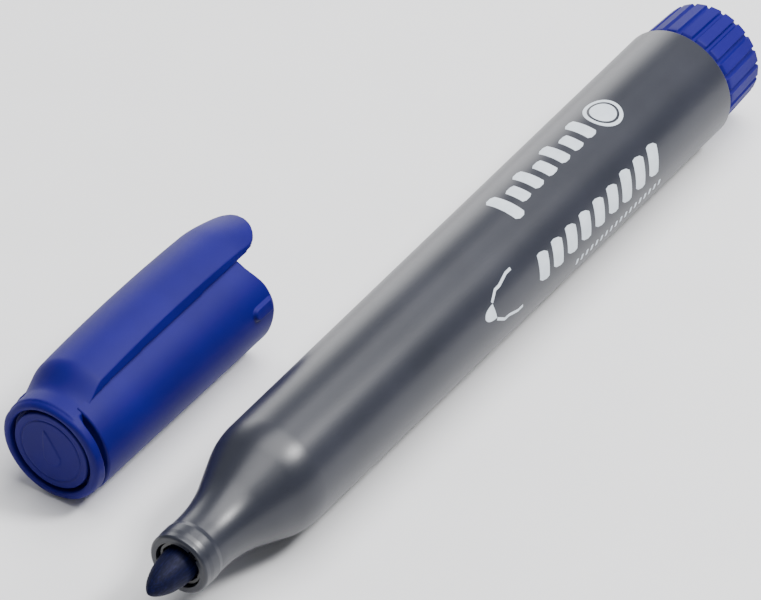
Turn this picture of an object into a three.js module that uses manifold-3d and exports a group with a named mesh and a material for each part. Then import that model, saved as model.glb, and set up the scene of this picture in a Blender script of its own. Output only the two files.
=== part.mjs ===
// A bullet-nib felt marker with its cap off: barrel, ribbed tail plug, nib, nib holder and ink
// reservoir, with the cap lying beside it. Millimetres, +Z up, +X from the tail to the nib.
// Both lie on one flat surface. The origin is on that surface, below the middle of the whole.
import * as THREE from "three";
import { mergeVertices } from "three/addons/utils/BufferGeometryUtils.js";
import Module from "manifold-3d";

const radians = THREE.MathUtils.degToRad;

// Fits and clearances
const seatGap = 0.3; // between pieces that are seated on each other
const slideGap = 0.25; // radial, round the plug that slides in the barrel
const rodGap = 0.15; // radial, round the nib, the holder and the core
const capFitGap = 0.1; // radial, seal over the neck's bead

// Barrel
const barrelRearRadius = 8.75;
const barrelFrontRadius = 8.17;
const bodyLength = 102.6; // rear rim to the corner of the shoulder
const barrelWall = 0.95;
const shoulderAngle = radians(20.6);
const shoulderRound = 13;
const neckRadius = 4.3;
const neckLength = 8.8; // corner of the neck to the end of the lip
const neckFillet = 21;
const boreFillet = 5;
const beadHeight = 0.12;
const beadLength = 2.6;
const beadFromLip = 2.3; // middle of the bead to the end of the lip
const lipRound = 0.45;
const notchWidth = 1.5; // in the lip, for the holder's tab
const notchDepth = 0.5;
const notchLength = 1.1;
const notchRoll = radians(-42); // about the axis, from straight up

// Tail plug
const plugHeadLength = 9.4;
const plugHeadStep = 0.45; // from the barrel in to the top of the ribs
const plugHeadTaper = 0.4; // how much slimmer the ribs are at the end
const plugRibs = 22;
const plugRibDepth = 0.55;
const plugRibShare = 0.68; // of each pitch
const plugRibFlank = 0.07; // of each pitch, from the top of a rib to its foot
const plugCollarLength = 0.9; // smooth, beside the barrel
const plugEndBevel = 0.3;
const plugSpigotLength = 7;
const plugSpigotChamfer = 0.6;
const plugWall = 1.1;

// Nib and holder
const nibRadius = 2.5;
const nibExposed = 6.9; // from the holder's face to the point
const nibPointRadius = 0.65;
const nibBulge = 0.28; // how far the cone swells from straight
const nibTailChamfer = 1.2;
const holderRecess = 0.5; // the holder's face below the lip
const holderFlange = 0.6; // the step at its inner end
const holderFlangeLength = 1;
const tabGap = 0.25; // round the tab in its notch

// Ink reservoir
const reservoirGap = 0.5; // radial, film to barrel
const filmWall = 0.25;
const filmOverhang = 0.6; // film past the front of the core
const coreSetback = 3.2; // front of the core behind the shoulder's corner
const coreSocketDepth = 6; // how far the nib's tail stands in the core

// Cap
const capLength = 39.3;
const capMouthRadius = 8.05;
const capEndRadius = 7.78; // beside the clip's ring
const capWall = 0.95;
const capEndWall = 1.4;
const capMouthRound = 0.35;
const ringLength = 2.1;
const ringGap = 0.55; // open gap round the boss, the end of the shell inside the ring
const ringFaceRadius = 7.5;
const ringWall = 1.15; // at its face
const ringFlare = 0.28; // how much wider its rear edge is than its face
const ringRound = 0.8;
const ringBoreRound = 0.3;
const bossRecess = 0.25;
const pocketLength = 5; // in the end of the shell, for the root of the clip
const pocketWall = 1; // round the pocket
const ribLength = 3.4; // two raised ribs beside the mouth, up to their round ends
const ribWidth = 2;
const ribHeight = 0.6;
const sealWall = 0.8;
const sealFromMouth = 11.5;
const sealEndWall = 1;

// Clip
const clipWidth = 10.8;
const clipPastMouth = 6.1;
const clipLift = 0.35; // between the tube and the arm
const clipThickness = 0.95; // at the mouth
const clipArch = 0.95; // how far its middle stands above its ends
const clipCrown = 2.4; // how far its top falls from its middle to its edges
const clipFall = radians(0.6); // of its top towards the closed end
const clipTipRound = 5.1; // corners of the tongue, seen from above
const clipRoot = 7.8; // closed end to the place where the arm bends
const clipFoot = 3.5; // closed end to the foot of the rise
const clipSweep = 4.2; // radius of the concave rise
const clipRootWall = 0.9; // at the foot, over the pocket

// How the cap lies
const capEndAlong = 112.1; // rear rim of the barrel to the closed end of the cap
const capAcross = -27.05;
const capRoll = radians(16); // clip, from straight up towards -Y

const roundSides = 48;
const rodSides = 32;
const arcSteps = 6;
const nibSteps = 10;
const clipSteps = 12;

// Places along the marker, from the rear rim
const neckCornerX = bodyLength + (barrelFrontRadius - neckRadius) / Math.tan(shoulderAngle);
const lipX = neckCornerX + neckLength;
const neckBore = neckRadius - barrelWall;
const holderFaceX = lipX - holderRecess;
const coreFrontX = bodyLength - coreSetback;
const coreRearX = plugSpigotLength + seatGap;
const nibTailX = coreFrontX - coreSocketDepth;
const plugHeadRadius = barrelRearRadius - plugHeadStep;
const plugEndRadius = plugHeadRadius - plugHeadTaper;
const filmRadius = Math.min(barrelRearRadius, barrelFrontRadius) - barrelWall - reservoirGap;
const coreRadius = filmRadius - filmWall - rodGap;

// Places along the cap, from its mouth
const capStepX = capLength - ringLength - seatGap;
const capTaper = (capMouthRadius - capEndRadius) / capStepX;
const pocketX = capStepX - pocketLength;
const capBoreEnd = pocketX - pocketWall;
const bossRadius = ringFaceRadius - ringWall - ringGap;
const pocketRadius = ringFaceRadius - clipRootWall - seatGap;
const sealBore = neckRadius + beadHeight + capFitGap;
const sealRadius = sealBore + sealWall;
const farBoreRadius = Math.min(pocketRadius - pocketWall, sealRadius - seatGap);
const tubeRadiusAt = (x) => capMouthRadius - capTaper * x;

const wasm = await Module();
wasm.setup();

const plastic = (color, roughness) => new THREE.MeshStandardMaterial({ color, roughness });
const barrelPlastic = plastic(0x5b5f6c, 0.45);
const capPlastic = plastic(0x28349a, 0.48);
const point = (x, r) => new THREE.Vector2(x, r);

// A profile of straight runs whose corners, given as [x, r, radius], are rounded by an arc.
function roundedProfile(corners) {
  return corners.flatMap(([x, r, radius], i) => {
    const here = point(x, r);
    if (!radius) return [here];
    const back = point(...corners[i - 1]).sub(here).normalize();
    const on = point(...corners[i + 1]).sub(here).normalize();
    const half = Math.acos(back.dot(on)) / 2;
    const reach = radius / Math.tan(half);
    const centre = back.clone().add(on).setLength(radius / Math.sin(half)).add(here);
    const start = back.multiplyScalar(reach).add(here).sub(centre).angle();
    const stop = on.multiplyScalar(reach).add(here).sub(centre).angle();
    const sweep = Math.atan2(Math.sin(stop - start), Math.cos(stop - start));
    return Array.from({ length: arcSteps + 1 }, (_, k) => {
      const a = start + (sweep * k) / arcSteps;
      return point(centre.x + radius * Math.cos(a), centre.y + radius * Math.sin(a));
    });
  });
}

// A solid turned about the X axis. A profile runs towards +X along its outside and back along
// its inside.
function turned(profile, sides = roundSides) {
  const points = profile.map((p) => point(p.y, p.x));
  return new THREE.LatheGeometry(points, sides).rotateZ(-Math.PI / 2);
}

const rod = (rear, front, radius, sides) =>
  turned([point(rear, 0), point(rear, radius), point(front, radius), point(front, 0)], sides);

const tube = (rear, front, bore, radius, sides) =>
  turned(
    [point(rear, bore), point(rear, radius), point(front, radius), point(front, bore), point(rear, bore)],
    sides,
  );

const block = (size, centre) => new THREE.BoxGeometry(...size).translate(...centre);

function toSolid(geometry) {
  const bare = geometry.index ? geometry.toNonIndexed() : geometry.clone();
  bare.deleteAttribute("normal");
  bare.deleteAttribute("uv");
  const merged = mergeVertices(bare, 1e-4);
  return new wasm.Manifold(
    new wasm.Mesh({
      numProp: 3,
      vertProperties: new Float32Array(merged.getAttribute("position").array),
      triVerts: new Uint32Array(merged.index.array),
    }),
  );
}

function toGeometry(solid) {
  const { vertProperties, triVerts } = solid.getMesh();
  const indexed = new THREE.BufferGeometry();
  indexed.setAttribute("position", new THREE.BufferAttribute(vertProperties, 3));
  indexed.setIndex(new THREE.BufferAttribute(triVerts, 1));
  const geometry = indexed.toNonIndexed();
  geometry.computeVertexNormals();
  return geometry;
}

function named(name, geometry, material) {
  const mesh = new THREE.Mesh(geometry, material);
  mesh.name = name;
  return mesh;
}

// The barrel: a slightly tapered tube, a shoulder, and a neck with a bead near its lip. A notch
// in the lip takes the holder's tab.
function makeBarrel() {
  const miter = barrelWall * Math.tan(shoulderAngle / 2);
  const beadX = lipX - beadFromLip;
  const beadRadius = neckRadius + beadHeight;
  const lipRadius = neckRadius + beadHeight / 2;
  const profile = roundedProfile([
    [0, barrelRearRadius - barrelWall],
    [0, barrelRearRadius],
    [bodyLength, barrelFrontRadius, shoulderRound],
    [neckCornerX, neckRadius, neckFillet],
    [beadX - beadLength / 2, neckRadius],
    [beadX - beadLength / 4, beadRadius],
    [beadX + beadLength / 4, beadRadius],
    [beadX + beadLength / 2, lipRadius],
    [lipX, lipRadius, lipRound],
    [lipX, neckBore],
    [neckCornerX - miter, neckBore, boreFillet],
    [bodyLength - miter, barrelFrontRadius - barrelWall, shoulderRound],
    [0, barrelRearRadius - barrelWall],
  ]);
  const notch = block(
    [notchLength * 2, notchWidth, neckBore + notchDepth],
    [lipX, 0, (neckBore + notchDepth) / 2],
  ).rotateX(notchRoll);
  const solid = toSolid(turned(profile)).subtract(toSolid(notch));
  return named("barrel", toGeometry(solid), barrelPlastic);
}

// Outline of the plug's ribs: flat tops with narrow grooves between them.
function ribOutline() {
  const pitch = (2 * Math.PI) / plugRibs;
  const top = (pitch * plugRibShare) / 2;
  const foot = top + pitch * plugRibFlank;
  const root = plugHeadRadius - plugRibDepth;
  const corners = [
    [-foot, root],
    [-top, plugHeadRadius],
    [0, plugHeadRadius],
    [top, plugHeadRadius],
    [foot, root],
  ];
  const points = [];
  for (let i = 0; i < plugRibs; i += 1) {
    for (const [turn, r] of corners) {
      const a = i * pitch + turn;
      points.push(point(r * Math.cos(a), r * Math.sin(a)));
    }
  }
  return new THREE.Shape(points);
}

// The tail plug: a ribbed head drawn in towards its end, a collar that seats on the barrel's rim
// and a spigot in its bore. It is hollow and opens towards the reservoir.
function makeTailPlug() {
  const collarRear = -seatGap - plugCollarLength;
  const ribsLong = plugHeadLength + collarRear;
  const ribs = new THREE.ExtrudeGeometry(ribOutline(), {
    depth: ribsLong - plugEndBevel,
    bevelThickness: plugEndBevel,
    bevelSize: plugEndBevel,
    bevelOffset: -plugEndBevel,
    bevelSegments: 1,
  });
  const at = ribs.getAttribute("position");
  for (let i = 0; i < at.count; i += 1) {
    const share = at.getZ(i) / ribsLong;
    const scale = THREE.MathUtils.lerp(1, plugEndRadius / plugHeadRadius, share);
    at.setXY(i, at.getX(i) * scale, at.getY(i) * scale);
  }
  ribs.rotateY(-Math.PI / 2).translate(collarRear, 0, 0);
  const spigotRadius = barrelRearRadius - barrelWall - slideGap;
  const spigot = turned([
    point(collarRear, 0),
    point(collarRear, plugHeadRadius),
    point(-seatGap, plugHeadRadius),
    point(-seatGap, spigotRadius),
    point(plugSpigotLength - plugSpigotChamfer, spigotRadius),
    point(plugSpigotLength, spigotRadius - plugSpigotChamfer),
    point(plugSpigotLength, 0),
  ]);
  const hollow = rod(plugWall - plugHeadLength, plugSpigotLength + plugWall, spigotRadius - plugWall);
  const solid = toSolid(ribs).add(toSolid(spigot)).subtract(toSolid(hollow));
  return named("tail_plug", toGeometry(solid), capPlastic);
}

// The nib: a felt rod with a bullet point. Its tail stands in the reservoir.
function makeNib() {
  const coneLength = nibExposed - nibPointRadius;
  const coneX = (t) => holderFaceX + coneLength * t;
  const coneRadius = (t) =>
    THREE.MathUtils.lerp(nibRadius, nibPointRadius, t) + nibBulge * Math.sin(Math.PI * t);
  const cone = Array.from({ length: nibSteps }, (_, i) => {
    const t = i / nibSteps;
    return point(coneX(t), coneRadius(t));
  });
  const tip = Array.from({ length: arcSteps }, (_, i) => {
    const a = (Math.PI / 2) * (i / arcSteps);
    return point(coneX(1) + nibPointRadius * Math.sin(a), nibPointRadius * Math.cos(a));
  });
  const profile = [
    point(nibTailX, 0),
    point(nibTailX, nibRadius - nibTailChamfer),
    point(nibTailX + nibTailChamfer, nibRadius),
    ...cone,
    ...tip,
    point(holderFaceX + nibExposed, 0),
  ];
  return named("nib", turned(profile, rodSides), plastic(0x101a4a, 0.85));
}

// The holder: a sleeve round the nib in the bore of the neck, with its tab in the lip's notch.
function makeNibHolder() {
  const bore = nibRadius + rodGap;
  const radius = neckBore - rodGap;
  const rear = coreFrontX + filmOverhang + seatGap;
  const sleeve = tube(rear, holderFaceX, bore, radius, rodSides);
  const flange = tube(rear, rear + holderFlangeLength, bore, radius + holderFlange, rodSides);
  const tabFoot = (bore + radius) / 2;
  const tabTop = neckBore + notchDepth - tabGap / 2;
  const tab = block(
    [notchLength - tabGap, notchWidth - 2 * tabGap, tabTop - tabFoot],
    [lipX - (notchLength - tabGap) / 2, 0, (tabTop + tabFoot) / 2],
  ).rotateX(notchRoll);
  const solid = toSolid(sleeve).add(toSolid(flange)).add(toSolid(tab));
  return named("nib_holder", toGeometry(solid), plastic(0x0a0a0c, 0.25));
}

// The reservoir's core: a felt rod with a socket for the tail of the nib.
function makeReservoirCore() {
  const socketRadius = nibRadius + rodGap;
  const socketEnd = nibTailX - seatGap;
  const profile = [
    point(coreRearX, 0),
    point(coreRearX, coreRadius),
    point(coreFrontX, coreRadius),
    point(coreFrontX, socketRadius),
    point(socketEnd, socketRadius),
    point(socketEnd, 0),
  ];
  return named("reservoir_core", turned(profile, rodSides), plastic(0x1b2460, 0.9));
}

// The film wrapped round the core.
function makeReservoirFilm() {
  const film = tube(coreRearX, coreFrontX + filmOverhang, coreRadius + rodGap, filmRadius, rodSides);
  return named("reservoir_film", film, plastic(0xcfd3dc, 0.3));
}

// The cap's pieces have their mouth at X = 0, their closed end towards +X and the clip on +Z.
// The shell: a tube with a closed end, a boss inside the clip's ring, a pocket for the root of the
// clip and two ribs at the mouth.
function makeCapShell() {
  const outside = roundedProfile([
    [0, 0],
    [0, capMouthRadius, capMouthRound],
    [capStepX, capEndRadius, capMouthRound],
    [capStepX, bossRadius],
    [capLength - bossRecess, bossRadius, ringBoreRound],
    [capLength - bossRecess, 0],
  ]);
  const hollow = turned([
    point(-capWall, 0),
    point(-capWall, tubeRadiusAt(-capWall) - capWall),
    point(capBoreEnd, tubeRadiusAt(capBoreEnd) - capWall),
    point(capBoreEnd, farBoreRadius),
    point(capStepX - capEndWall, farBoreRadius),
    point(capStepX - capEndWall, 0),
  ]);
  const ribs = [-1, 1].flatMap((side) => {
    const middle = side * tubeRadiusAt(ribLength);
    const end = new THREE.CylinderGeometry(ribWidth / 2, ribWidth / 2, 2 * ribHeight, rodSides / 2);
    return [
      block([ribLength, 2 * ribHeight, ribWidth], [capMouthRound + ribLength / 2, middle, 0]),
      end.translate(capMouthRound + ribLength, middle, 0),
    ];
  });
  const ribbed = ribs.reduce((sum, rib) => sum.add(toSolid(rib)), toSolid(turned(outside)));
  const pocketSize = [2 * pocketLength, clipWidth + 2 * seatGap, 2 * capMouthRadius];
  const pocket = toSolid(block(pocketSize, [pocketX + pocketLength, 0, capMouthRadius]));
  const cut = pocket.subtract(toSolid(rod(0, 2 * capLength, pocketRadius)));
  const shell = ribbed.subtract(toSolid(hollow)).subtract(cut);
  return named("cap_shell", toGeometry(shell), capPlastic);
}

// The inner cap, which seals on the bead of the neck.
function makeSealCup() {
  const end = capBoreEnd - seatGap;
  const outside = rod(sealFromMouth, end, sealRadius);
  const hollow = rod(sealFromMouth - sealWall, end - sealEndWall, sealBore);
  const cup = toSolid(outside).subtract(toSolid(hollow));
  return named("seal_cup", toGeometry(cup), plastic(0xd9dce4, 0.4));
}

// The clip's cross-section carried along the cap from front to rear: upright sides and a crowned
// top. The top arches between the tip and the closed end, and falls gently towards that end.
function clipBar(front, rear) {
  const half = clipWidth / 2;
  const top = capMouthRadius + clipLift + clipThickness;
  const crownRadius = (half ** 2 + clipCrown ** 2) / (2 * clipCrown);
  const lean = Math.asin(half / crownRadius);
  const section = new THREE.Shape();
  section.moveTo(-half, 0);
  section.lineTo(half, 0);
  section.absarc(0, top - crownRadius, crownRadius, Math.PI / 2 - lean, Math.PI / 2 + lean, false);
  section.closePath();
  const options = { depth: rear - front, steps: clipSteps, bevelEnabled: false, curveSegments: clipSteps };
  const toRow = new THREE.Matrix4().makeBasis(
    new THREE.Vector3(0, 1, 0),
    new THREE.Vector3(0, 0, 1),
    new THREE.Vector3(1, 0, 0),
  );
  const bar = new THREE.ExtrudeGeometry(section, options).applyMatrix4(toRow).translate(front, 0, 0);
  const halfSpan = (capLength + clipPastMouth) / 2;
  const middle = capLength - halfSpan;
  const at = bar.getAttribute("position");
  for (let i = 0; i < at.count; i += 1) {
    const share = (at.getX(i) - middle) / halfSpan;
    at.setZ(i, at.getZ(i) + clipArch * (1 - share ** 2));
  }
  return toSolid(bar.rotateY(clipFall));
}

// The space that the clip keeps clear of, round the tube and in the pocket.
function clearOfTube() {
  const step = pocketX + seatGap;
  const profile = [
    point(-capLength, 0),
    point(-capLength, tubeRadiusAt(-capLength) + clipLift),
    point(step, tubeRadiusAt(step) + clipLift),
    point(step, pocketRadius + seatGap),
    point(capLength - ringLength, pocketRadius + seatGap),
    point(capLength - ringLength, 0),
  ];
  return toSolid(turned(profile));
}

// The clip's ring sits round the boss with an open gap. The root of the arm lies in the pocket
// beside it and sweeps up.
function makeClipRing() {
  const bore = bossRadius + ringGap;
  const rear = capLength - ringLength;
  const profile = roundedProfile([
    [rear, bore],
    [rear, ringFaceRadius + ringFlare],
    [capLength, ringFaceRadius, ringRound],
    [capLength, bore, ringBoreRound],
    [rear, bore],
  ]);
  const front = capLength - ringRound;
  const foot = capLength - clipFoot;
  const sweep = Array.from({ length: clipSteps + 1 }, (_, i) => {
    const a = (Math.PI / 2) * (i / clipSteps);
    return point(foot - clipSweep * Math.cos(a), ringFaceRadius + clipSweep * (1 - Math.sin(a)));
  });
  const face = [point(front, ringFaceRadius), point(front, 0)];
  const flare = turned([point(0, 0), point(0, ringFaceRadius + clipSweep), ...sweep, ...face]);
  const root = clipBar(capLength - clipRoot, front)
    .intersect(toSolid(flare))
    .subtract(clearOfTube())
    .subtract(toSolid(rod(0, capLength + ringLength, bore)));
  return named("clip_ring", toGeometry(toSolid(turned(profile)).add(root)), capPlastic);
}

// The clip's arm: a tongue that is hollow below, where it follows the tube.
function makeClipArm() {
  const rear = capLength - clipRoot - seatGap;
  const half = clipWidth / 2;
  const arcX = clipTipRound - clipPastMouth;
  const arcY = half - clipTipRound;
  const plan = new THREE.Shape();
  plan.moveTo(rear, -half);
  plan.lineTo(rear, half);
  plan.absarc(arcX, arcY, clipTipRound, Math.PI / 2, Math.PI, false);
  plan.absarc(arcX, -arcY, clipTipRound, Math.PI, 1.5 * Math.PI, false);
  plan.closePath();
  const options = { depth: 2 * capMouthRadius, bevelEnabled: false, curveSegments: arcSteps };
  const tongue = toSolid(new THREE.ExtrudeGeometry(plan, options));
  const arm = clipBar(-clipPastMouth, capLength).intersect(tongue).subtract(clearOfTube());
  return named("clip_arm", toGeometry(arm), capPlastic);
}

// The cap lies on its side, touching along the whole of its tapered tube.
function layCap(pieces) {
  const tilt = Math.atan(capTaper);
  const rolled = new THREE.Group().add(...pieces);
  rolled.rotation.x = capRoll;
  const lying = new THREE.Group().add(rolled);
  lying.rotation.y = tilt;
  const mouthX = capEndAlong - capLength * Math.cos(tilt);
  lying.position.set(mouthX, capAcross, capMouthRadius * Math.cos(tilt));
  return lying;
}

const marker = new THREE.Group().add(
  makeBarrel(),
  makeTailPlug(),
  makeNib(),
  makeNibHolder(),
  makeReservoirCore(),
  makeReservoirFilm(),
);
marker.position.z = barrelRearRadius;
const cap = layCap([makeCapShell(), makeSealCup(), makeClipRing(), makeClipArm()]);

const whole = new THREE.Group().add(marker, cap);
const box = new THREE.Box3().setFromObject(whole, true);
const middle = box.getCenter(new THREE.Vector3());
whole.position.set(-middle.x, -middle.y, -box.min.z);

export default new THREE.Group().add(whole);
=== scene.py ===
import math
import bmesh
import bpy
import numpy as np
from mathutils import Matrix, Vector


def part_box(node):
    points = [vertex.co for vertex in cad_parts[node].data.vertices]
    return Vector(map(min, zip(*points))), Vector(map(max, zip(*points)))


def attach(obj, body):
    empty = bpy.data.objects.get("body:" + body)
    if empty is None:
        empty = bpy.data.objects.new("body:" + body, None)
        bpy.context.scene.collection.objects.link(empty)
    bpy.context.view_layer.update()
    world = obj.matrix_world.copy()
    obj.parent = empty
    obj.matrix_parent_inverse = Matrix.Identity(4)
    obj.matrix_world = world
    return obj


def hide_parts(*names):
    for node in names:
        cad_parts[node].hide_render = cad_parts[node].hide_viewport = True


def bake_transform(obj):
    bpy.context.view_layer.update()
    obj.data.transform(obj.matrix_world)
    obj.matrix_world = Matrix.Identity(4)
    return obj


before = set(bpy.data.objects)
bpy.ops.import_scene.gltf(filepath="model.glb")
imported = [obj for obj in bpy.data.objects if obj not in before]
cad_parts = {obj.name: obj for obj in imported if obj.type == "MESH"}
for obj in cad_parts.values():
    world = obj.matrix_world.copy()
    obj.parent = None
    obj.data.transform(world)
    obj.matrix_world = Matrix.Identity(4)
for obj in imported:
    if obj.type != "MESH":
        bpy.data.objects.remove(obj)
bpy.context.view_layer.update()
print("frame loaded")

mm = 0.001
marker = {"rearRadius": 8.75, "frontRadius": 8.17, "body": 102.6, "wall": 0.95, "shoulder": 20.6,
          "shoulderRound": 13, "neckRadius": 4.3, "neck": 8.8, "neckFillet": 21, "boreFillet": 5,
          "lipRound": 0.45, "beadHeight": 0.12, "beadLength": 2.6, "beadFromLip": 2.3,
          "notchWidth": 1.5, "notchDepth": 0.5, "notchLength": 1.1, "notchTurn": 42}
cap = {"length": 39.3, "mouth": 8.05, "end": 7.78, "wall": 0.95, "endWall": 1.4, "round": 0.35,
       "ring": 2.1, "gap": 0.3, "ringFace": 7.5, "boss": 5.8, "bossRecess": 0.25, "ringGap": 0.55,
       "pocket": 5, "pocketRadius": 6.3, "pocketHalf": 4.9, "pocketWall": 1,
       "endAlong": 112.1, "across": -27.05, "roll": 16}

# Places that several pieces share, in mm from the rear rim and from the cap's mouth
slope = math.tan(math.radians(marker["shoulder"]))
neckX = marker["body"] + (marker["frontRadius"] - marker["neckRadius"]) / slope
lipX = neckX + marker["neck"]
neckBore = marker["neckRadius"] - marker["wall"]
holderFace = lipX - 0.5
capStep = cap["length"] - cap["ring"] - cap["gap"]
capTaper = (cap["mouth"] - cap["end"]) / capStep
pocketX = capStep - cap["pocket"]

barrelLow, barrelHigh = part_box("barrel")
rearRim = np.array([barrelLow.x, (barrelLow.y + barrelHigh.y) / 2, marker["rearRadius"] * mm])


def turnAbout(axis, degrees):
    return np.array(Matrix.Rotation(math.radians(degrees), 3, axis))


# A marker piece is drawn in mm from the rear rim; a cap piece in mm from the mouth, clip upwards
def placeOnMarker(points):
    return points * mm + rearRim


capTilt = math.degrees(math.atan(capTaper))
capTurn = turnAbout("Y", capTilt) @ turnAbout("X", cap["roll"])
capMouth = np.array([
    rearRim[0] + (cap["endAlong"] - cap["length"] * math.cos(math.radians(capTilt))) * mm,
    rearRim[1] + cap["across"] * mm,
    cap["mouth"] * math.cos(math.radians(capTilt)) * mm])


def placeOnCap(points):
    return points @ capTurn.T * mm + capMouth


# Corners (x, r, radius): each corner with a radius becomes an arc tangent to both of its runs
def roundedProfile(corners, steps=14):
    run = []
    for i, corner in enumerate(corners):
        here = np.array(corner[:2], float)
        if len(corner) < 3:
            run.append(here)
            continue
        back = np.array(corners[i - 1][:2]) - here
        on = np.array(corners[(i + 1) % len(corners)][:2]) - here
        back, on = back / np.linalg.norm(back), on / np.linalg.norm(on)
        half = math.acos(np.clip(back @ on, -1, 1)) / 2
        middle = (back + on) / np.linalg.norm(back + on)
        centre = here + middle * corner[2] / math.sin(half)
        start = here + back * corner[2] / math.tan(half) - centre
        stop = here + on * corner[2] / math.tan(half) - centre
        first = math.atan2(start[1], start[0])
        sweep = math.atan2(stop[1], stop[0]) - first
        sweep = math.atan2(math.sin(sweep), math.cos(sweep))
        a = first + sweep * np.linspace(0, 1, steps + 1)
        run.extend(centre + corner[2] * np.stack([np.cos(a), np.sin(a)], 1))
    return np.array(run)


# Quads over a rows x columns grid: columns close round, rows close only if asked
def gridFaces(rows, columns, closeRows=False):
    index = np.arange(rows * columns).reshape(rows, columns)
    if closeRows:
        index = np.vstack([index, index[:1]])
    a, b = index[:-1], index[1:]
    quads = np.stack([a, np.roll(a, -1, 1), np.roll(b, -1, 1), b], -1)
    return quads.reshape(-1, 4)


# Point (i, j) stands at x[i, j] along the axis and r[i, j] out from it, at angle[j] from straight up
def turnedGrid(x, r, angle):
    x, r, angle = np.broadcast_arrays(x, r, angle)
    return np.stack([x, r * np.sin(angle), r * np.cos(angle)], -1).reshape(-1, 3)


def makeMesh(name, points, faces, sharp=32):
    mesh = bpy.data.meshes.new(name)
    mesh.from_pydata(points.tolist(), [], faces if isinstance(faces, list) else faces.tolist())
    work = bmesh.new()
    work.from_mesh(mesh)
    bmesh.ops.remove_doubles(work, verts=work.verts, dist=2e-7)
    bmesh.ops.dissolve_degenerate(work, edges=work.edges, dist=1e-7)
    bmesh.ops.recalc_face_normals(work, faces=work.faces)
    work.to_mesh(mesh)
    work.free()
    mesh.shade_smooth()
    mesh.set_sharp_from_angle(angle=math.radians(sharp))
    piece = bpy.data.objects.new(name, mesh)
    bpy.context.collection.objects.link(piece)
    return piece


# A closed profile carried once round the axis, each point at its own (x, r)
def turnedPiece(name, profile, place, sides=160):
    angle = np.linspace(0, 2 * math.pi, sides, endpoint=False)
    profile = np.asarray(profile, float)
    closed = profile[0, 1] > 1e-6
    points = turnedGrid(profile[:, :1], profile[:, 1:2], angle)
    return makeMesh(name, place(points), gridFaces(len(profile), sides, closed))


def joinMeshes(name, parts):
    bpy.ops.object.select_all(action="DESELECT")
    for part in parts:
        part.select_set(True)
    bpy.context.view_layer.objects.active = parts[0]
    bpy.ops.object.join()
    parts[0].name = name
    parts[0].data.name = name
    return parts[0]


def smoothStep(t):
    t = np.clip(t, 0, 1)
    return t * t * (3 - 2 * t)


# Material nodes

def startMaterial(name, colour, roughness, **sockets):
    material = bpy.data.materials.new(name)
    material.use_nodes = True
    nodes = material.node_tree.nodes
    shader = nodes["Principled BSDF"]
    shader.inputs["Base Color"].default_value = (*colour, 1)
    shader.inputs["Roughness"].default_value = roughness
    for socket, value in sockets.items():
        shader.inputs[socket.replace("_", " ")].default_value = value
    return material, nodes, material.node_tree.links, shader


def objectPattern(nodes, links, scale, stretch=(1, 1, 1), detail=4.0):
    place = nodes.new("ShaderNodeTexCoord")
    mapping = nodes.new("ShaderNodeMapping")
    mapping.inputs["Scale"].default_value = stretch
    noise = nodes.new("ShaderNodeTexNoise")
    noise.inputs["Scale"].default_value = scale
    noise.inputs["Detail"].default_value = detail
    links.new(place.outputs["Object"], mapping.inputs["Vector"])
    links.new(mapping.outputs["Vector"], noise.inputs["Vector"])
    return noise


# Colour runs between two tones with the pattern
def tintBy(nodes, links, pattern, low, high, start=0.3, stop=0.7):
    ramp = nodes.new("ShaderNodeValToRGB")
    ramp.color_ramp.elements[0].position = start
    ramp.color_ramp.elements[1].position = stop
    ramp.color_ramp.elements[0].color = (*low, 1)
    ramp.color_ramp.elements[1].color = (*high, 1)
    links.new(pattern.outputs[0], ramp.inputs["Fac"])
    return ramp


def rangeBy(nodes, links, pattern, low, high):
    span = nodes.new("ShaderNodeMapRange")
    span.inputs["To Min"].default_value = low
    span.inputs["To Max"].default_value = high
    links.new(pattern.outputs[0], span.inputs["Value"])
    return span


def bumpBy(nodes, links, shader, pattern, distance):
    bump = nodes.new("ShaderNodeBump")
    bump.inputs["Distance"].default_value = distance
    bump.inputs["Strength"].default_value = 1
    links.new(pattern.outputs[0], bump.inputs["Height"])
    links.new(bump.outputs["Normal"], shader.inputs["Normal"])


# Moulded plastic: cloudy tone, fine grain in the gloss and a shallow grained surface
def mouldedPlastic(name, look):
    sockets = look.get("sockets", {})
    material, nodes, links, shader = startMaterial(name, look["tone"], look["rough"], **sockets)
    cloud = objectPattern(nodes, links, look["cloudScale"], detail=3.0)
    tint = tintBy(nodes, links, cloud, look["dark"], look["light"])
    links.new(tint.outputs["Color"], shader.inputs["Base Color"])
    grain = objectPattern(nodes, links, look["grainScale"], detail=5.0)
    spread = look["roughSpread"]
    gloss = rangeBy(nodes, links, grain, look["rough"] - spread, look["rough"] + spread)
    links.new(gloss.outputs["Result"], shader.inputs["Roughness"])
    bumpBy(nodes, links, shader, grain, look["grainDepth"])
    return material


barrelLook = {"tone": (0.015, 0.017, 0.027), "dark": (0.012, 0.014, 0.023), "light": (0.019, 0.021, 0.032),
              "rough": 0.34, "roughSpread": 0.06, "cloudScale": 90, "grainScale": 5200, "grainDepth": 4e-6}
blueLook = {"tone": (0.006, 0.002, 0.13), "dark": (0.005, 0.0015, 0.115), "light": (0.007, 0.0025, 0.145),
            "rough": 0.55, "sockets": {"Specular_IOR_Level": 0.15}, "roughSpread": 0.08,
            "cloudScale": 110, "grainScale": 6500, "grainDepth": 9e-6}
sealLook = {"tone": (0.75, 0.77, 0.8), "dark": (0.7, 0.72, 0.76), "light": (0.8, 0.82, 0.84),
            "rough": 0.42, "roughSpread": 0.05, "cloudScale": 200, "grainScale": 5000, "grainDepth": 4e-6}
holderLook = {"tone": (0.004, 0.004, 0.005), "dark": (0.003, 0.003, 0.004), "light": (0.007, 0.007, 0.009),
              "rough": 0.16, "roughSpread": 0.05, "cloudScale": 400, "grainScale": 3000, "grainDepth": 3e-6}
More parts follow.
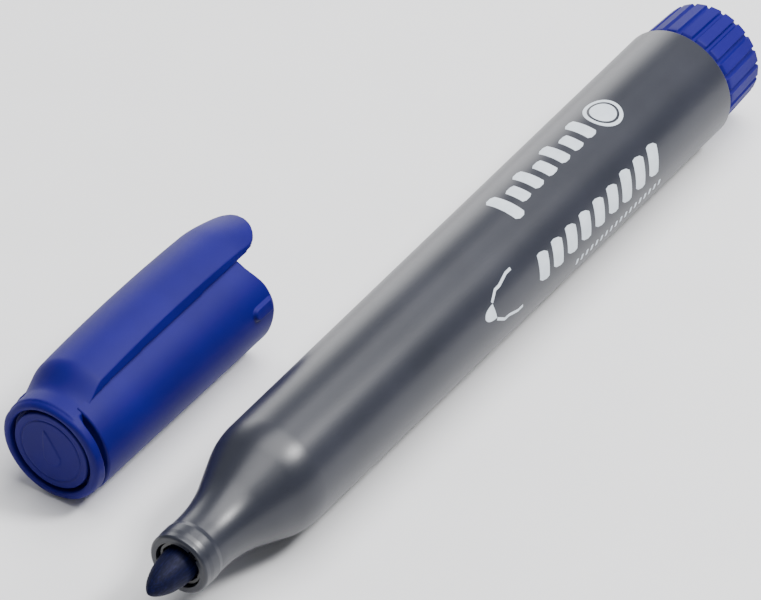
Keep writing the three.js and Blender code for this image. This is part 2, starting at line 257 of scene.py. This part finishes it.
filmLook = {"tone": (0.7, 0.72, 0.75), "dark": (0.62, 0.65, 0.7), "light": (0.76, 0.78, 0.8),
            "rough": 0.2, "roughSpread": 0.06, "cloudScale": 150, "grainScale": 900, "grainDepth": 2e-5}

bluePlastic = mouldedPlastic("bluePlastic", blueLook)
sealPlastic = mouldedPlastic("sealPlastic", sealLook)
holderPlastic = mouldedPlastic("holderPlastic", holderLook)
filmPlastic = mouldedPlastic("filmPlastic", filmLook)
barrelPlastic = mouldedPlastic("barrelPlastic", barrelLook)


# Felt: fibres drawn out along the marker. A few are glossier, and those same fibres are painted a lighter
# tone as a painted highlight where they catch the light
def feltMaterial(name, look):
    material, nodes, links, shader = startMaterial(name, look["tone"], look["rough"], **look["sockets"])
    fibres = objectPattern(nodes, links, look["fibreScale"], stretch=(0.12, 1, 1), detail=6.0)
    # Painted highlight: the fibre pattern paints the glossier fibres lighter, on top of their real lower
    # roughness
    tint = tintBy(nodes, links, fibres, look["tone"], look["light"], 0.45, 0.75)
    links.new(tint.outputs["Color"], shader.inputs["Base Color"])
    gloss = rangeBy(nodes, links, fibres, look["rough"] + 0.15, look["rough"] - 0.25)
    links.new(gloss.outputs["Result"], shader.inputs["Roughness"])
    bumpBy(nodes, links, shader, fibres, look["fibreDepth"])
    return material


nibFelt = feltMaterial("nibFelt", {
    "tone": (0.0008, 0.0018, 0.016), "light": (0.003, 0.004, 0.04), "rough": 0.62, "fibreScale": 4200,
    "fibreDepth": 2.2e-5, "sockets": {"Specular_IOR_Level": 0.12}})
coreFelt = feltMaterial("coreFelt", {
    "tone": (0.01, 0.016, 0.1), "light": (0.04, 0.05, 0.2), "rough": 0.85, "fibreScale": 2600,
    "fibreDepth": 8e-5, "sockets": {"Sheen_Weight": 0.2, "Sheen_Roughness": 0.5}})
printInk = mouldedPlastic("printInk", {
    "tone": (0.6, 0.66, 0.72), "dark": (0.55, 0.61, 0.68), "light": (0.64, 0.7, 0.76),
    "rough": 0.4, "roughSpread": 0.08, "cloudScale": 700, "grainScale": 5200, "grainDepth": 3e-6})
print("materials made")


# Barrel
def barrelOuter():
    bead = lipX - marker["beadFromLip"]
    top = marker["neckRadius"] + marker["beadHeight"]
    lip = marker["neckRadius"] + marker["beadHeight"] / 2
    long = marker["beadLength"]
    return [[0, marker["rearRadius"] - marker["wall"]],
            [0, marker["rearRadius"], 0.18],
            [marker["body"], marker["frontRadius"], marker["shoulderRound"]],
            [neckX, marker["neckRadius"], marker["neckFillet"]],
            [bead - long / 2, marker["neckRadius"], 1.2],
            [bead - long / 4, top, 0.8],
            [bead + long / 4, top, 0.8],
            [bead + long / 2, lip, 1.2],
            [lipX, lip, marker["lipRound"]],
            [lipX, neckBore]]


# The turned grid of the barrel. Inside the notch's angles the bore of the lip steps outwards
def makeBarrel():
    miter = marker["wall"] * math.tan(math.radians(marker["shoulder"] / 2))
    outer = roundedProfile(barrelOuter(), 24)
    inner = roundedProfile([
        [lipX - marker["notchLength"], neckBore],
        [neckX - miter, neckBore, marker["boreFillet"]],
        [marker["body"] - miter, marker["frontRadius"] - marker["wall"], marker["shoulderRound"]],
        [0, marker["rearRadius"] - marker["wall"]]], 12)
    floor = np.array([[lipX - marker["notchLength"], neckBore]])
    profile = np.vstack([outer, floor, inner[:-1]])
    stepped = np.zeros(len(profile), bool)
    stepped[[len(outer) - 1, len(outer)]] = True
    roll = math.radians(marker["notchTurn"])
    halfNotch = marker["notchWidth"] / 2 / (neckBore + marker["notchDepth"] / 2)
    edges = [roll + side * halfNotch * share for side in (-1, 1) for share in (0.985, 1.015)]
    angle = np.sort(np.append(np.linspace(-math.pi, math.pi, 288, endpoint=False), edges))
    inside = np.abs(angle - roll) < halfNotch
    r = np.repeat(profile[:, 1:2], len(angle), 1)
    r[np.ix_(stepped, inside)] += marker["notchDepth"]
    points = turnedGrid(profile[:, :1], r, angle)
    barrel = makeMesh("barrel_body", placeOnMarker(points), gridFaces(len(profile), len(angle), True))
    barrel.data.materials.append(barrelPlastic)
    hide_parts("barrel")
    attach(barrel, "marker")


# Print: plain marks, drawn as ribbons of ink in mm. Each path runs in (x from the rear rim, distance
# round the barrel from the line's own angle), with a width at each of its points
ink = {"proud": 0.022, "sunk": 0.04, "across": 7}
lines = {
    "heading": {"turn": 3, "from": 26.3, "step": 3.35, "lean": 0.0, "width": 2.1,
                "spans": [(-2.6, 1.7), (-1.5, 1.7)] * 3 + [(-2.6, 2.9)]},
    "name": {"turn": 71, "from": 20.2, "step": 3.5, "lean": 0.28, "width": 2.3,
             "spans": [(-2.2, 2.2)] * 3 + [(-1.9, 1.9)] * 6},
    "small": {"turn": 101, "from": 19, "step": 1.25, "lean": 0.1, "width": 0.5, "spans": [(-0.5, 0.5)] * 18}}


def barWidths(count, width):
    t = np.linspace(-1, 1, count)
    return width * (1 - np.clip(np.abs(t) - 0.86, 0, None) ** 2 * 28)


def inkStrokes():
    strokes = []
    for line in lines.values():
        for i, (low, high) in enumerate(line["spans"]):
            v = np.linspace(low, high, 15)
            path = np.stack([line["from"] + i * line["step"] + line["lean"] * v, v], 1)
            strokes.append((line["turn"], path, barWidths(15, line["width"]), False))
    a = np.linspace(0, 2 * math.pi, 64, endpoint=False)
    for radius, width in ((2.55, 0.55), (0.95, 1.9)):
        path = np.stack([21.4 + radius * np.cos(a), radius * np.sin(a)], 1)
        strokes.append((4, path, np.full(64, width), True))
    t = np.linspace(0, 1, 12)
    tip = np.stack([60.2 + 2.3 * t, 0 * t], 1)
    strokes.append((69, tip, 2.1 * np.sqrt(np.clip(1 - t ** 2, 0.01, None)), False))
    for side in (-1, 1):
        body = np.array([[60.2, 1.25], [58.6, 2.3], [57.6, 2.3], [55.4, 2.95], [54.2, 2.95]]) * [1, side]
        reach = np.append(0, np.cumsum(np.hypot(*np.diff(body, axis=0).T)))
        at = np.linspace(0, reach[-1], 24)
        path = np.stack([np.interp(at, reach, body[:, 0]), np.interp(at, reach, body[:, 1])], 1)
        strokes.append((69, path, np.full(24, 0.42), False))
    return strokes


def makePrint():
    allPoints, allFaces, start = [], [], 0
    share = np.linspace(-0.5, 0.5, ink["across"])
    for turn, path, width, closed in inkStrokes():
        if closed:
            along = np.roll(path, -1, 0) - np.roll(path, 1, 0)
        else:
            along = np.gradient(path, axis=0)
        normal = np.stack([-along[:, 1], along[:, 0]], 1) / np.linalg.norm(along, axis=1)[:, None]
        flat = path[:, None] + normal[:, None] * width[:, None, None] * share[:, None]
        narrowing = marker["frontRadius"] - marker["rearRadius"]
        radius = marker["rearRadius"] + narrowing * flat[..., 0] / marker["body"]
        angle = math.radians(turn) + flat[..., 1] / radius
        x = np.concatenate([flat[..., 0], flat[:, ::-1, 0]], 1)
        r = np.concatenate([radius + ink["proud"], radius[:, ::-1] - ink["sunk"]], 1)
        angle = np.concatenate([angle, angle[:, ::-1]], 1)
        faces = gridFaces(len(path), 2 * ink["across"], closed) + start
        allFaces.extend(faces.tolist())
        if not closed:
            ring = np.arange(2 * ink["across"])
            allFaces.append((ring + start).tolist())
            allFaces.append((ring[::-1] + start + (len(path) - 1) * len(ring)).tolist())
        allPoints.append(turnedGrid(x, r, angle))
        start += x.size
    marks = makeMesh("barrel_print", placeOnMarker(np.vstack(allPoints)), allFaces)
    marks.data.materials.append(printInk)
    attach(marks, "marker")


makeBarrel()
makePrint()
print("barrel made")

# Tail plug
plug = {"head": 9.4, "radius": 8.3, "endRadius": 7.9, "ribs": 21, "ribDepth": 0.45, "ribShare": 0.74,
        "flank": 0.09, "phase": 4.2, "collar": 0.6, "collarGap": 0.3, "ribStart": 0.7, "endRound": 0.35,
        "spigot": 7, "chamfer": 0.6, "wall": 1.1, "slideGap": 0.25,
        "dishDepth": 0.45, "dishRadius": 5.6, "dishFlank": 0.3}


# Head radius = collar radius + rib height x rise along the head x flat-topped wave round it
def makeTailPlug():
    pitch = 2 * math.pi / plug["ribs"]
    perRib = 28
    angle = np.arange(plug["ribs"] * perRib) * pitch / perRib + math.radians(plug["phase"])
    off = (np.arange(perRib) / perRib + 0.5) % 1 - 0.5
    wave = smoothStep((plug["ribShare"] / 2 + plug["flank"] / 2 - np.abs(off)) / plug["flank"])
    flat = math.cos(plug["ribShare"] / 2 * pitch) / np.cos(off * pitch)
    wave, flat = np.tile(wave, plug["ribs"]), np.tile(flat, plug["ribs"])
    seat, dish = plug["collarGap"], plug["head"] - plug["dishDepth"]
    along = np.concatenate([
        [plug["head"]],
        plug["head"] - plug["endRound"] * (1 - np.sin(np.linspace(math.pi / 2, 0, 7)[1:])),
        np.linspace(plug["head"] - plug["endRound"] - 0.3, plug["collar"] + plug["ribStart"], 12),
        np.linspace(plug["collar"] + plug["ribStart"], plug["collar"], 9)[1:]])
    share = along / plug["head"]
    full = plug["radius"] + (plug["endRadius"] - plug["radius"]) * share
    root = full - plug["ribDepth"]
    rise = smoothStep((along - plug["collar"]) / plug["ribStart"])
    turnIn = np.clip((along - plug["head"] + plug["endRound"]) / plug["endRound"], 0, 1)
    drop = plug["endRound"] * (1 - np.sqrt(1 - turnIn ** 2))
    ribbed = (root[:, None] + (full - root)[:, None] * rise[:, None] * wave) * (
        1 + (flat - 1) * wave * rise[:, None] * 0.9) - drop[:, None]
    collar = root[-1]
    spigot = marker["rearRadius"] - marker["wall"] - plug["slideGap"]
    before = [[dish, 0], [dish, plug["dishRadius"]], [plug["head"], plug["dishRadius"] + plug["dishFlank"]],
              [plug["head"], plug["endRadius"] - plug["ribDepth"] - plug["endRound"] - 0.3]]
    after = [[seat, collar], [seat, spigot], [-plug["spigot"] + plug["chamfer"], spigot],
             [-plug["spigot"], spigot - plug["chamfer"]], [-plug["spigot"], spigot - plug["wall"]],
             [dish - plug["wall"], spigot - plug["wall"]], [dish - plug["wall"], 0]]
    x = -np.concatenate([np.array(before)[:, 0], along, np.array(after)[:, 0]])[:, None]
    plainBefore, plainAfter = [
        np.repeat(np.array(run, float)[:, 1:2], len(angle), 1) for run in (before, after)]
    r = np.vstack([plainBefore, ribbed, plainAfter])
    points = turnedGrid(x, r, angle)
    tail = makeMesh("tail_plug_ribbed", placeOnMarker(points), gridFaces(len(r), len(angle)), 40)
    tail.data.materials.append(bluePlastic)
    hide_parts("tail_plug")
    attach(tail, "plug")


makeTailPlug()
print("tail plug made")

# Nib, holder and reservoir
nib = {"radius": 2.5, "exposed": 6.9, "power": 0.66, "chamfer": 1.2, "setback": 3.2, "socket": 6}
holder = {"gap": 0.15, "flange": 0.6, "flangeLength": 1, "channels": 6, "channelDepth": 0.07, "tabGap": 0.25}
reservoir = {"gap": 0.5, "film": 0.25, "overhang": 0.6, "rear": 7.3, "rodGap": 0.15, "seat": 0.3}
coreFront = marker["body"] - nib["setback"]
filmRadius = marker["frontRadius"] - marker["wall"] - reservoir["gap"]
coreRadius = filmRadius - reservoir["film"] - reservoir["rodGap"]


# Nib radius = base radius x (1 - share squared) to a power, where share runs from 0 at the holder to 1
# at the point: a full, blunt bullet
def makeNib():
    share = np.sin(np.linspace(0, math.pi / 2, 56))
    tip = np.stack([holderFace + nib["exposed"] * share,
                    nib["radius"] * np.clip(1 - share ** 2, 0, 1) ** nib["power"]], 1)
    rear = coreFront - nib["socket"]
    foot = [[rear, 0], [rear, nib["radius"] - nib["chamfer"]], [rear + nib["chamfer"], nib["radius"]]]
    profile = np.vstack([foot, tip])
    profile[-1, 1] = 0
    angle = np.linspace(0, 2 * math.pi, 128, endpoint=False)
    x, r = profile[:, :1], profile[:, 1:2]
    worn = 1 + 0.006 * np.sin(5 * angle + x * 0.9) * np.sin(x * 2.1) * (x > holderFace)
    points = placeOnMarker(turnedGrid(x, r * worn, angle))
    felt = makeMesh("nib_felt", points, gridFaces(len(profile), len(angle)), 60)
    felt.data.materials.append(nibFelt)
    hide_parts("nib")
    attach(felt, "marker")


# The holder's face carries air channels: its bore widens where the channel wave is high
def makeHolder():
    bore, radius = nib["radius"] + holder["gap"], neckBore - holder["gap"]
    rear = coreFront + reservoir["overhang"] + reservoir["seat"]
    profile = roundedProfile([
        [rear, bore], [rear, radius + holder["flange"], 0.15],
        [rear + holder["flangeLength"], radius + holder["flange"], 0.15],
        [rear + holder["flangeLength"], radius], [holderFace, radius, 0.12], [holderFace, bore, 0.1],
        [holderFace - 3, bore]], 5)
    angle = np.linspace(0, 2 * math.pi, 192, endpoint=False)
    wave = smoothStep((np.cos(holder["channels"] * angle + 0.6) - 0.75) / 0.15)
    x, r = profile[:, :1], profile[:, 1:2]
    nearBore = (r < bore + 0.2) & (x > rear + 0.5)
    points = turnedGrid(x, r + holder["channelDepth"] * wave * nearBore, angle)
    sleeve = makeMesh("holder_sleeve", placeOnMarker(points), gridFaces(len(profile), 192, True))
    foot, top = (bore + radius) / 2, neckBore + marker["notchDepth"] - holder["tabGap"] / 2
    half = marker["notchWidth"] / 2 - holder["tabGap"]
    back = lipX - marker["notchLength"] + holder["tabGap"]
    corners = np.array([[x, y, z] for x in (back, lipX - 0.18) for y in (-half, half) for z in (foot, top)])
    sides = [[0, 1, 3, 2], [4, 6, 7, 5], [0, 4, 5, 1], [2, 3, 7, 6], [0, 2, 6, 4], [1, 5, 7, 3]]
    turned = corners @ turnAbout("X", -marker["notchTurn"]).T
    tab = makeMesh("holder_tab", placeOnMarker(turned), sides)
    sleeve = joinMeshes("nib_holder_sleeve", [sleeve, tab])
    edge = sleeve.modifiers.new("edge", "BEVEL")
    edge.width, edge.segments, edge.limit_method, edge.angle_limit = 0.07 * mm, 3, "ANGLE", math.radians(60)
    sleeve.data.materials.append(holderPlastic)
    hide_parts("nib_holder")
    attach(sleeve, "marker")


def makeReservoir():
    socket = nib["radius"] + reservoir["rodGap"]
    end = coreFront - nib["socket"] - reservoir["seat"]
    core = turnedPiece("reservoir_core_rod", roundedProfile([
        [reservoir["rear"], 0], [reservoir["rear"], coreRadius, 0.3], [coreFront, coreRadius, 0.3],
        [coreFront, socket, 0.2], [end, socket], [end, 0]], 5), placeOnMarker)
    core.data.materials.append(coreFelt)
    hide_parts("reservoir_core")
    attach(core, "marker")
    bore, front = coreRadius + reservoir["rodGap"], coreFront + reservoir["overhang"]
    film = turnedPiece("reservoir_film_wrap", [
        [reservoir["rear"], bore], [reservoir["rear"], filmRadius],
        [front, filmRadius], [front, bore]], placeOnMarker)
    film.data.materials.append(filmPlastic)
    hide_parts("reservoir_film")
    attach(film, "marker")


makeNib()
makeHolder()
makeReservoir()
print("nib, holder and reservoir made")

# Cap tube
capDetail = {"ribLength": 3.4, "ribWidth": 2, "ribHeight": 0.5, "ribTurn": 93, "ringLine": 4.7,
             "lineWidth": 0.22, "lineDepth": 0.12, "motifHeight": 0.12, "sealFromMouth": 11.5,
             "sealWall": 0.8, "sealEnd": 1,
             "rimBack": 1.0, "rimOut": 0.45}


# Raised plain drop inside a fine sunk ring. The drop's height rises with the distance in from its edge:
# a round belly below, and sides that draw together to a point above
def bossRelief(y, z):
    ring = np.abs(np.hypot(y, z) - capDetail["ringLine"])
    line = smoothStep(1 - ring / capDetail["lineWidth"])
    up = np.clip((z + 0.9) / 4.2, 0, 1)
    width = 1.5 * np.sqrt(np.clip(1 - up, 0, 1)) * (1 - 0.25 * up)
    belly = np.where(z < -0.9, 1.5 - np.hypot(y, z + 0.9), width - np.abs(y))
    drop = smoothStep(belly / 0.3) * (z < 3.3)
    return capDetail["motifHeight"] * drop - capDetail["lineDepth"] * line


# Tube radius = tapered cylinder + a rounded rib beside the mouth on each side. Its end has a pocket
# with upright sides for the clip's root, and its rim draws back under the clip
def makeCapTube():
    fine = np.linspace(-1, 1, 41) * 1.5 / cap["mouth"]
    angle = np.linspace(-math.pi, math.pi, 224, endpoint=False)
    ribAt = math.radians(capDetail["ribTurn"])
    for at in (-ribAt, ribAt):
        angle = np.append(angle[np.abs(angle - at) > fine[-1]], at + fine)
    pocketEdge = math.asin(cap["pocketHalf"] / cap["end"])
    angle = angle[np.abs(np.abs(angle) - pocketEdge) > 0.012]
    edges = [side * (pocketEdge + off) for side in (-1, 1) for off in (-0.002, 0.002)]
    angle = np.sort(np.append(angle, edges))
    face = cap["length"] - cap["bossRecess"]
    disc = np.stack([np.full(60, face), np.linspace(0, cap["boss"] - 0.3, 60)], 1)
    outer = roundedProfile([
        [face, cap["boss"] - 0.3], [face, cap["boss"], 0.25], [capStep, cap["boss"]],
        [capStep, cap["end"], cap["round"]], [pocketX + 0.02, cap["end"]], [pocketX - 0.02, cap["end"]],
        [7, cap["mouth"] - 7 * capTaper]], 8)
    outer[-3:-1, 1] = cap["mouth"] - outer[-3:-1, 0] * capTaper
    farBore, narrow = capStep - cap["endWall"], cap["pocketRadius"] - cap["pocketWall"]
    boreEnd = pocketX - cap["pocketWall"]
    mouth = roundedProfile([
        [0.5, cap["mouth"]], [0, cap["mouth"], cap["round"]], [0, cap["mouth"] - cap["wall"], 0.2],
        [boreEnd, cap["end"] - cap["wall"], 0.8], [boreEnd, narrow], [farBore, narrow, 0.4], [farBore, 0]], 8)
    run = np.linspace(7, 0.5, 54)[1:-1]
    near = np.stack([run, cap["mouth"] - run * capTaper], 1)
    profile = np.vstack([disc, outer[1:], near, mouth[1:]])
    x, r = profile[:, :1].repeat(len(angle), 1), profile[:, 1:2].repeat(len(angle), 1)
    onDisc = (x > face - 0.01) & (r < cap["boss"] - 0.35)
    x = x + bossRelief(r * np.sin(angle), r * np.cos(angle)) * onDisc
    out = profile[:, 1:2] > cap["mouth"] - cap["wall"] / 2
    spread = np.abs(angle)
    overRun = np.clip(x - capDetail["ribLength"], 0, None)
    sideways = cap["mouth"] * np.abs(spread - ribAt)
    reach = capDetail["ribWidth"] / 2 + 0.1 - np.hypot(sideways, overRun)
    r = r + capDetail["ribHeight"] * smoothStep(reach / 0.4) * smoothStep((x - 0.1) / 0.9) * out * (x < 7)
    turn = np.degrees(spread)
    back = capDetail["rimBack"] * smoothStep((78 - turn) / 32)
    wave = back - capDetail["rimOut"] * np.exp(-((turn - 98) / 20) ** 2)
    x = x + wave * smoothStep((7 - x) / 7) * (profile[:, 1:2] > cap["end"] - cap["wall"] - 0.05) * (x < 7)
    rows = np.zeros((len(profile), 1), bool)
    rows[len(disc) - 1:len(disc) + len(outer) - 1] = True
    y, z = r * np.sin(angle), r * np.cos(angle)
    floor = np.sqrt(np.clip(cap["pocketRadius"] ** 2 - y ** 2, 0, None))
    inPocket = rows & (x > pocketX) & (x < capStep + 0.01) & (spread < pocketEdge) & (r > cap["pocketRadius"])
    z = np.where(inPocket, floor, z)
    points = np.stack([x, y, z], -1).reshape(-1, 3)
    tube = makeMesh("cap_tube", placeOnCap(points), gridFaces(len(profile), len(angle)), 40)
    tube.data.materials.append(bluePlastic)
    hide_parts("cap_shell")
    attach(tube, "cap")


def makeSeal():
    bore = marker["neckRadius"] + marker["beadHeight"] + 0.1
    end = pocketX - cap["pocketWall"] - cap["gap"]
    first, outer = capDetail["sealFromMouth"], bore + capDetail["sealWall"]
    seal = turnedPiece("seal_cup_turned", roundedProfile([
        [end, 0], [end, outer, 0.2], [first, outer, 0.25], [first, bore, 0.25],
        [end - capDetail["sealEnd"], bore, 0.5], [end - capDetail["sealEnd"], 0]], 6), placeOnCap)
    seal.data.materials.append(sealPlastic)
    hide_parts("seal_cup")
    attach(seal, "cap")


makeCapTube()
makeSeal()
print("cap made")

# Clip
clip = {"width": 10.8, "past": 6.1, "lift": 0.35, "thick": 0.95, "arch": 0.95, "crown": 2.4, "fall": 0.6,
        "tipRound": 5.2, "tipDroop": 1.3, "root": 7.8, "riseFrom": 31.6, "riseTo": 36.4, "rootHalf": 4.8,
        "ringTop": 7.6, "slot": 0.65, "voxel": 0.135}


# Ring: its rear edge draws back beside the arm, most at the sides, and closes up below
def ringGrid():
    bore = cap["boss"] + cap["ringGap"]
    rear = cap["length"] - cap["ring"]
    profile = roundedProfile([
        [rear, bore], [rear, cap["end"] - 0.08, 0.2], [cap["length"], cap["ringFace"], 0.8],
        [cap["length"], bore, 0.3]], 8)
    angle = np.linspace(-math.pi, math.pi, 256, endpoint=False)
    spread = np.degrees(np.abs(angle))
    lens = smoothStep((spread - 40) / 18) * smoothStep((135 - spread) / 50)
    x = profile[:, :1] + clip["slot"] * lens * np.clip((cap["length"] - profile[:, :1]) / cap["ring"], 0, 1)
    r = profile[:, 1:2] - 0.16 * smoothStep((55 - spread) / 20) * (profile[:, 1:2] > bore + 0.6)
    return turnedGrid(x, r, angle), gridFaces(len(profile), 256, True)


# Arm: at each place along it, a crowned top over an under side that is concentric with the tube.
# Near the ring the top eases down to the ring's round, and the middle stands in the pocket
def armGrid():
    front, stations, across = cap["length"] - 0.9, 220, 61
    ease = np.linspace(0, 1, stations)
    x = -clip["past"] + 0.02 + (front + clip["past"]) * ease ** 1.2
    corner = np.clip(clip["tipRound"] - clip["past"] - x, 0, clip["tipRound"])
    half = clip["width"] / 2 - clip["tipRound"] + np.sqrt(clip["tipRound"] ** 2 - corner ** 2)
    halfSpan = (cap["length"] + clip["past"]) / 2
    share = (x - cap["length"] + halfSpan) / halfSpan
    top = (cap["mouth"] + clip["lift"] + clip["thick"] + clip["arch"] * (1 - share ** 2)
           - x * math.sin(math.radians(clip["fall"])))
    crownRadius = ((clip["width"] / 2) ** 2 + clip["crown"] ** 2) / (2 * clip["crown"])
    s = half[:, None] * np.sin(np.linspace(-math.pi / 2, math.pi / 2, across))
    droop = clip["tipDroop"] * smoothStep((7 - clip["past"] - x) / 10)
    above = top[:, None] - crownRadius + np.sqrt(crownRadius ** 2 - s ** 2) - droop[:, None]
    rise = smoothStep((clip["riseTo"] - x) / (clip["riseTo"] - clip["riseFrom"]))[:, None]
    ringTop = np.sqrt(clip["ringTop"] ** 2 - s ** 2)
    above = ringTop + (above - ringTop) * rise
    lift = clip["lift"] * (1 - 0.8 * smoothStep((x - 28) / 8))
    under = (cap["mouth"] - capTaper * np.maximum(x, 0) + lift)[:, None]
    rooted = (x > pocketX + cap["gap"])[:, None] & ((np.abs(s) < clip["rootHalf"]) | (x > capStep)[:, None])
    under = np.where(rooted, cap["pocketRadius"] + cap["gap"], under)
    below = np.sqrt(np.clip(under ** 2 - s ** 2, 0.01, None))
    below = np.minimum(below, above - 0.15)
    loop = np.concatenate([np.stack([s, above], -1), np.stack([s, below], -1)[:, ::-1]], 1)
    points = np.concatenate([np.broadcast_to(x[:, None, None], loop.shape[:2] + (1,)), loop], -1)
    faces = gridFaces(stations, 2 * across).tolist()
    faces.append(list(range(2 * across)))
    faces.append(list(range((stations - 1) * 2 * across, stations * 2 * across))[::-1])
    return points.reshape(-1, 3), faces


def makeClip():
    ring = makeMesh("clip_ring_part", *ringGrid())
    points, faces = armGrid()
    arm = makeMesh("clip_arm_part", points, faces)
    both = joinMeshes("cap_clip", [ring, arm])
    fuse = both.modifiers.new("fuse", "REMESH")
    fuse.mode, fuse.voxel_size, fuse.use_smooth_shade = "VOXEL", clip["voxel"], True
    soften = both.modifiers.new("soften", "SMOOTH")
    soften.factor, soften.iterations = 0.5, 4
    bpy.context.view_layer.update()
    shaped = bpy.data.meshes.new_from_object(both.evaluated_get(bpy.context.evaluated_depsgraph_get()))
    both.modifiers.clear()
    both.data = shaped
    local = np.empty(len(shaped.vertices) * 3)
    shaped.vertices.foreach_get("co", local)
    shaped.vertices.foreach_set("co", placeOnCap(local.reshape(-1, 3)).ravel())
    shaped.update()
    shaped.shade_smooth()
    shaped.materials.clear()
    shaped.materials.append(bluePlastic)
    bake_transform(both)
    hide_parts("clip_ring", "clip_arm")


makeClip()
print("clip made")

# Camera, floor and lights
view = {"aim": (0.0544, -0.0141, 0), "distance": 0.6797, "heading": 33.44, "elevation": 38.73, "lens": 236.5}


def makeCamera():
    aim = Vector((rearRim[0] + view["aim"][0], rearRim[1] + view["aim"][1], 0))
    level, rise = math.radians(view["heading"]), math.radians(view["elevation"])
    back = Vector((math.cos(level) * math.cos(rise), math.sin(level) * math.cos(rise), math.sin(rise)))
    data = bpy.data.cameras.new("camera")
    data.lens, data.sensor_width = view["lens"], 36
    data.clip_start, data.clip_end = 0.01, 20
    camera = bpy.data.objects.new("camera", data)
    camera.location = aim + back * view["distance"]
    camera.rotation_euler = (-back).to_track_quat("-Z", "Y").to_euler()
    bpy.context.collection.objects.link(camera)
    bpy.context.scene.camera = camera


def makeFloor():
    size = 3.0
    drop = -5e-5
    corners = np.array([[-size, -size, drop], [size, -size, drop], [size, size, drop], [-size, size, drop]])
    floor = makeMesh("floor", corners, [[0, 1, 2, 3]])
    material, nodes, links, shader = startMaterial("paleFloor", (0.8, 0.8, 0.81), 0.7)
    mottle = objectPattern(nodes, links, 60)
    tint = tintBy(nodes, links, mottle, (0.79, 0.79, 0.8), (0.81, 0.81, 0.82))
    links.new(tint.outputs["Color"], shader.inputs["Base Color"])
    floor.data.materials.append(material)


# Each light stands at an angle round the object (from +X towards +Y), a height angle and a distance
lights = {
    "key": {"round": 122, "up": 53, "far": 0.75, "size": 0.16, "watts": 6},
    "leftLow": {"round": -138, "up": 10, "far": 1.2, "size": 0.8, "watts": 9},
    "above": {"round": 160, "up": 78, "far": 1.2, "size": 1.0, "watts": 22}}


def makeLights():
    for name, light in lights.items():
        data = bpy.data.lights.new(name, "AREA")
        data.energy, data.size = light["watts"], light["size"]
        level, rise = math.radians(light["round"]), math.radians(light["up"])
        away = Vector((math.cos(level) * math.cos(rise), math.sin(level) * math.cos(rise), math.sin(rise)))
        lamp = bpy.data.objects.new(name, data)
        lamp.location = away * light["far"]
        lamp.rotation_euler = (-away).to_track_quat("-Z", "Y").to_euler()
        bpy.context.collection.objects.link(lamp)
    world = bpy.data.worlds.new("studio")
    world.use_nodes = True
    world.node_tree.nodes["Background"].inputs["Color"].default_value = (0.95, 0.97, 1, 1)
    world.node_tree.nodes["Background"].inputs["Strength"].default_value = 0.3
    bpy.context.scene.world = world


makeCamera()
makeFloor()
makeLights()
print("stage made")
